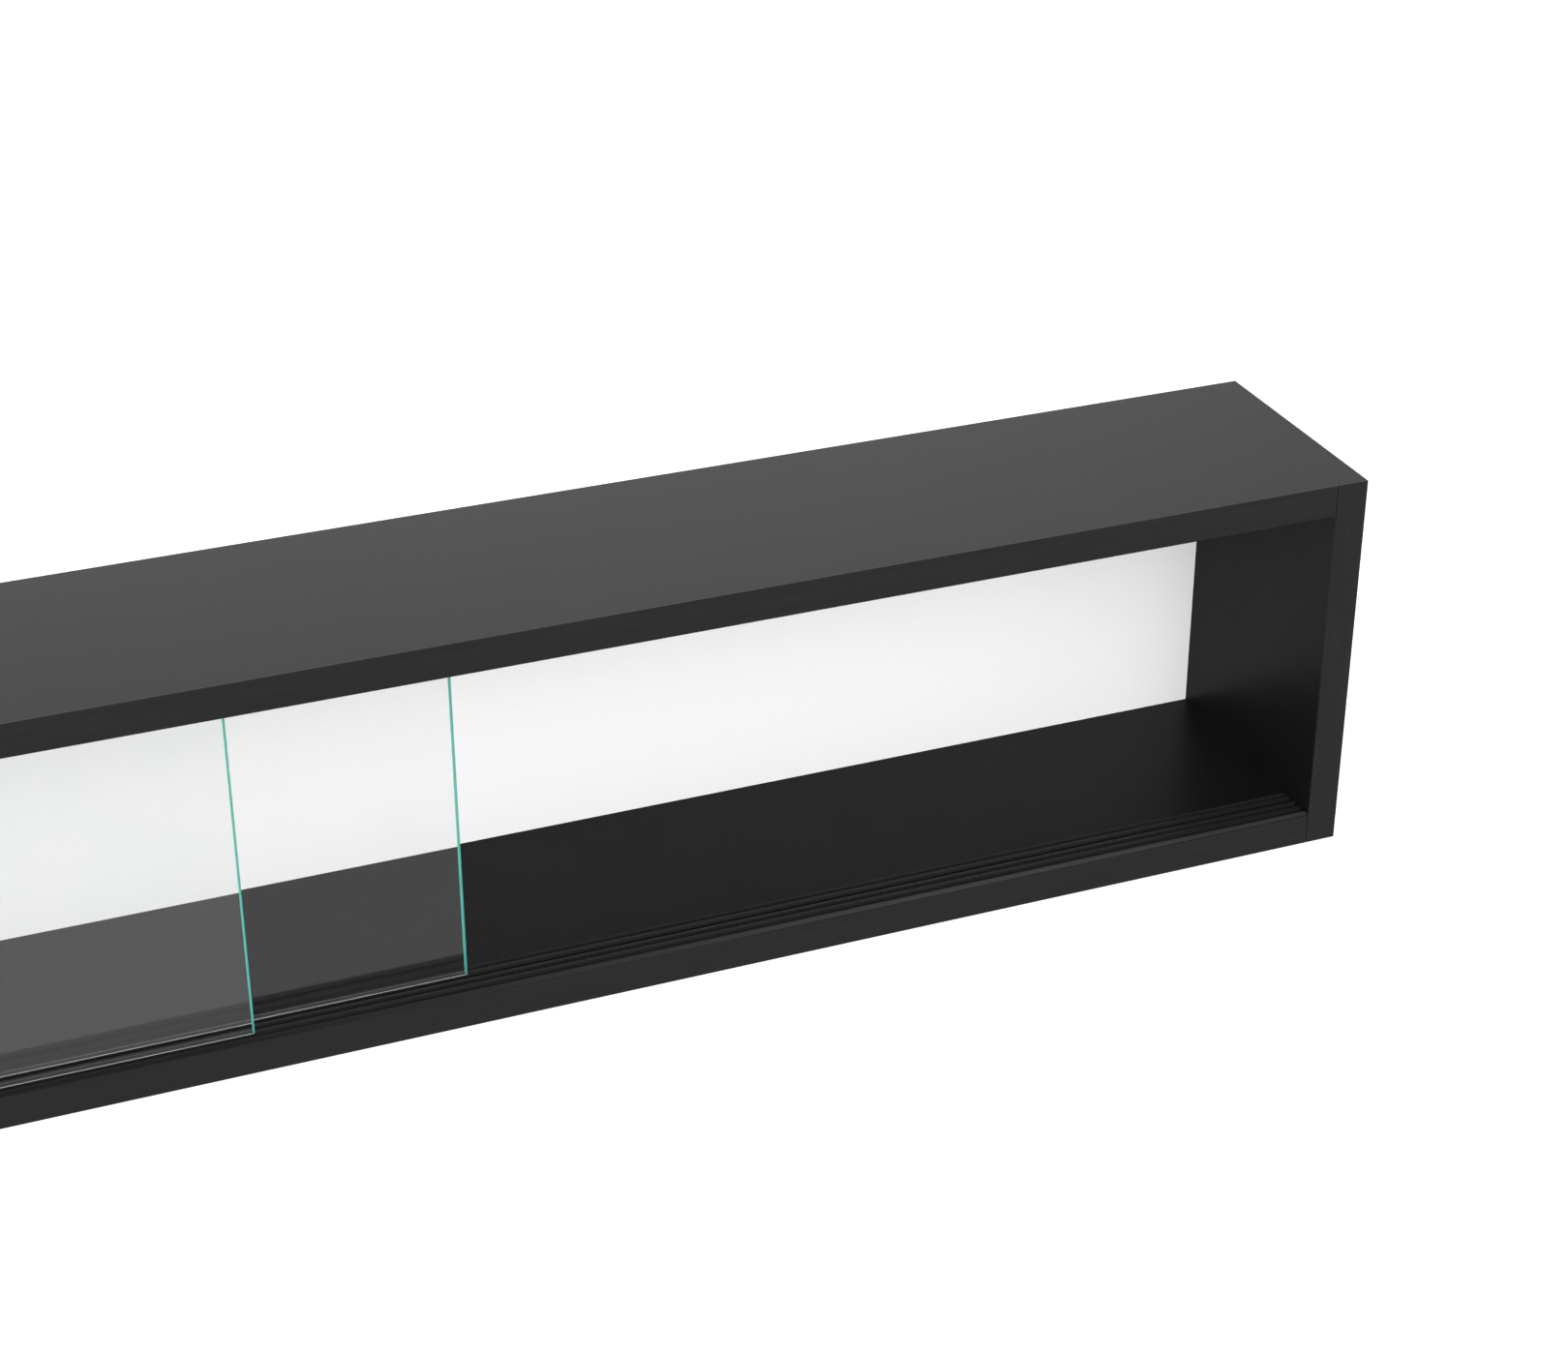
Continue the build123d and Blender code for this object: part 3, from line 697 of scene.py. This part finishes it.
def makeBackScrews():
    s = backScrew
    screw = turnCountersunkScrew("backPanelCountersunkScrews", s)
    low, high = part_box("back_panel_screws")
    edge = s["head"] * mm
    reach = cadBox[1][0] - s["endInset"] * mm
    columns = evenly(-reach, reach, s["columns"])
    places = [(x, high.y, z) for z in (low.z + edge, high.z - edge) for x in columns]
    places += [(x, high.y, (low.z + high.z) / 2) for x in (low.x + edge, high.x - edge)]
    screws = placeCopies(screw, Vector((0, 1, 0)), places, driveStep)
    finishPiece(screws, "cabinet", "zinc_plated_steel", "back_panel_screws")


trackScrew = {"head": 2.1, "shank": 1.25, "length": 14, "tip": 2, "rim": 0.15,
              "across": 2.4, "slot": 0.7, "deep": 0.9, "count": 5}


def makeTrackScrews():
    s = trackScrew
    screw = turnCountersunkScrew("upperTrackCountersunkScrews", s)
    low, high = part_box("upper_track_screws")
    edge = s["head"] * mm
    places = [(x, (low.y + high.y) / 2, low.z) for x in evenly(low.x + edge, high.x - edge, s["count"])]
    screws = placeCopies(screw, Vector((0, 0, -1)), places, driveStep)
    finishPiece(screws, "cabinet", "zinc_plated_steel", "upper_track_screws")


bracketScrew = {"head": 3.5, "dome": 1.8, "domeRings": 6, "shank": 1.75, "length": 15, "tip": 3,
                "across": 3.6, "slot": 0.9, "deep": 1.1, "spacing": 24}


def makeBracketScrews():
    s = bracketScrew
    rings = []
    for ring in range(1, s["domeRings"] + 1):
        slope = pi / 2 * ring / s["domeRings"]
        rings.append((s["head"] * sin(slope), s["dome"] * cos(slope)))
    screw = turnUp("bracketPanHeadScrews", rings + [
        (s["shank"], 0), (s["shank"], s["tip"] - s["length"]), (s["shank"] * screwPoint, -s["length"])])
    cutCross(screw, s["dome"], s["across"], s["slot"], s["deep"])
    low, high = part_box("wall_bracket_screws")
    places = []
    for bracket in ("left_wall_bracket", "right_wall_bracket"):
        middle = sum(corner.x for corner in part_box(bracket)) / 2
        for side in (-0.5, 0.5):
            spot = middle + side * s["spacing"] * mm
            places.append((spot, (low.y + high.y) / 2, low.z + s["dome"] * mm))
    screws = placeCopies(screw, Vector((0, 0, -1)), places, driveStep)
    finishPiece(screws, "cabinet", "zinc_plated_steel", "wall_bracket_screws")


camCap = {"radius": 7.55, "thickness": 1.2, "rim": 0.4, "ease": 0.12, "dish": 5.6, "dishDepth": 0.25,
          "notch": (3.2, 1, 1.2), "notchAt": 6.4, "sides": 48}


def makeCamCaps():
    # pressed-in caps with a rounded rim, a shallow dish and a notch to lift them by
    s = camCap
    cap = turnUp("pressedCamCaps", [
        (s["dish"] - s["dishDepth"], -s["dishDepth"]), (s["dish"], 0), (s["radius"] - s["rim"], 0),
        (s["radius"] - s["ease"], -s["ease"]), (s["radius"], -s["rim"]),
        (s["radius"], -s["thickness"])], sides=s["sides"])
    cutWith(cap, s["notch"], (s["notchAt"], 0, 0), 1)
    low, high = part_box("cam_caps")
    edge = s["radius"] * mm
    places = [
        (x, y, z)
        for z in (low.z, high.z - s["thickness"] * mm)
        for x in (low.x + edge, high.x - edge)
        for y in (low.y + edge, high.y - edge)
    ]
    caps = placeCopies(cap, Vector((0, 0, -1)), places, driveStep)
    finishPiece(caps, "cabinet", "black_cap_plastic", "cam_caps")


endStop = {"thickness": 1.6, "width": 6.6, "height": 6.5, "round": 0.5, "segments": 3}


def makeEndStops():
    s = endStop
    size = Vector((s["thickness"], s["width"], s["height"])) * mm
    deselectAll()
    bpy.ops.mesh.primitive_cube_add(size=1, scale=size)
    pad = bpy.context.object
    pad.name = "rubberDoorStops"
    bpy.ops.object.transform_apply(location=True, rotation=True, scale=True)
    bpy.ops.object.mode_set(mode="EDIT")
    bpy.ops.mesh.select_all(action="SELECT")
    bpy.ops.mesh.bevel(offset=s["round"] * mm, segments=s["segments"], affect="EDGES")
    bpy.ops.object.mode_set(mode="OBJECT")
    bpy.ops.object.shade_smooth_by_angle(angle=smoothAngle)
    low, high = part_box("door_end_stops")
    low, high = low + size / 2, high - size / 2
    places = [(x, y, low.z) for x in (low.x, high.x) for y in (low.y, high.y)]
    pads = placeCopies(pad, Vector((0, 0, 1)), places)
    finishPiece(pads, "cabinet", "black_rubber", "door_end_stops")


makeBackScrews()
makeTrackScrews()
makeBracketScrews()
makeCamCaps()
makeEndStops()
print("screws, caps and stops made")
